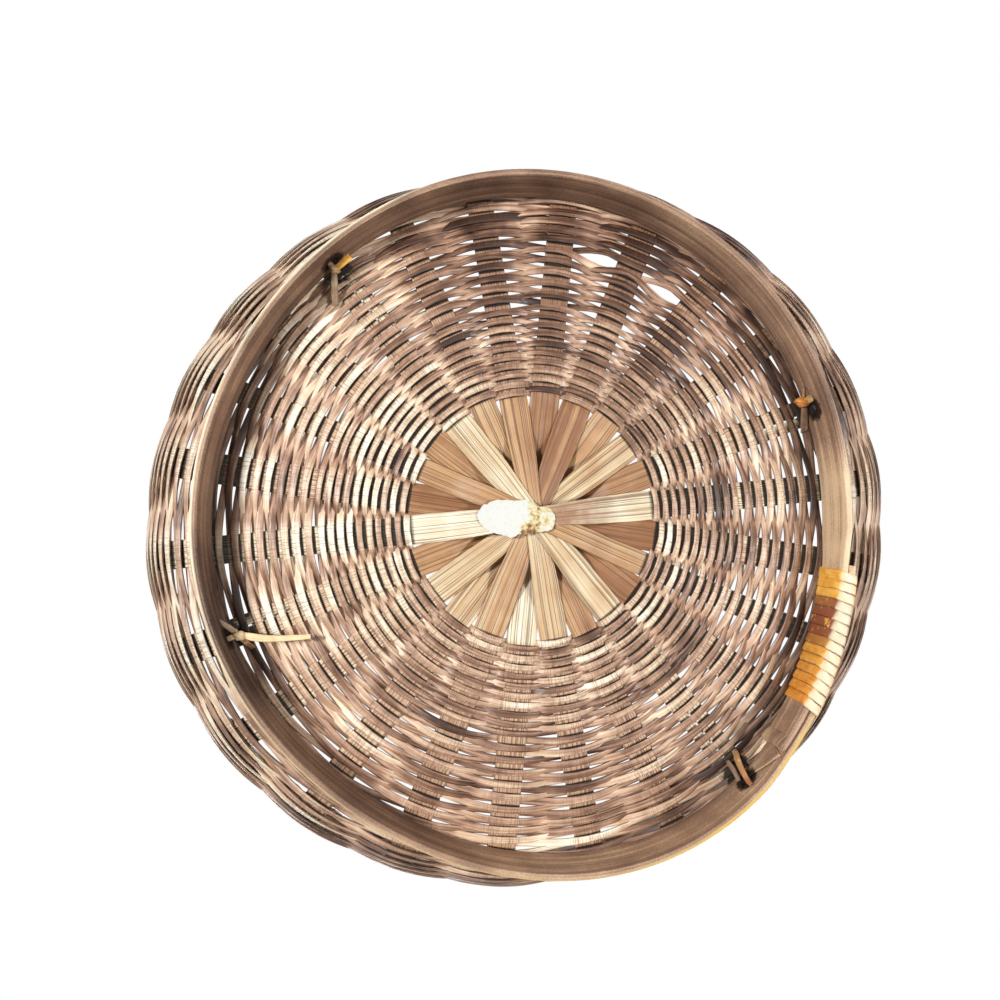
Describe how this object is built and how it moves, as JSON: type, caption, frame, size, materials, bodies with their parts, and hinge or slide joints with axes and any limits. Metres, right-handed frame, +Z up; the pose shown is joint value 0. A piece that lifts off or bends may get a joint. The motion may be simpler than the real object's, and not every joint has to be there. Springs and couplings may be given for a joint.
{
  "type": "bamboo basket",
  "caption": "Round shallow woven bamboo basket with a star base, sloping wall, lashed rim and a bound foot hoop, for drying, carrying or sorting farm produce.",
  "frame": {"origin": "on the ground at the centre of the foot hoop's lower edge", "axes": "+Z up out of the basket's mouth; +X and +Y across the base, with +X towards the bound lap of the foot hoop"},
  "size_m": [0.3054, 0.296, 0.0852],
  "materials": {
    "pale_splint": "split bamboo, satin, straw coloured",
    "brown_splint": "split bamboo, satin, honey brown",
    "weaver": "fine split bamboo, satin, weathered brown",
    "hoop_bamboo": "thick bamboo strip, satin, worn",
    "cane": "split cane, glossy, orange yellow",
    "paper": "matte paper, blank, torn at the edge"
  },
  "bodies": {
    "root": {"base_weave_01": "weaver", "base_weave_02": "weaver", "base_weave_03": "weaver", "base_weave_04": "weaver", "base_weave_05": "weaver", "base_weave_06": "weaver", "base_weave_07": "weaver", "base_weave_08": "weaver", "base_weave_09": "weaver", "foot_hoop": "hoop_bamboo", "hoop_binding": "cane", "inner_rim_hoop": "hoop_bamboo", "outer_rim_hoop": "hoop_bamboo", "paper_label": "paper", "rim_lashing": "cane", "splint_01": "pale_splint", "splint_02": "brown_splint", "splint_03": "pale_splint", "splint_04": "brown_splint", "splint_05": "pale_splint", "splint_06": "brown_splint", "splint_07": "pale_splint", "splint_08": "brown_splint", "splint_09": "pale_splint", "splint_10": "brown_splint", "splint_11": "pale_splint", "splint_12": "brown_splint", "tie_left": "cane", "tie_lower_right": "cane", "tie_right": "cane", "tie_upper_left": "cane", "wall_weave_01": "weaver", "wall_weave_02": "weaver", "wall_weave_03": "weaver", "wall_weave_04": "weaver", "wall_weave_05": "weaver", "wall_weave_06": "weaver", "wall_weave_07": "weaver", "wall_weave_08": "weaver"}
  },
  "joints": []
}
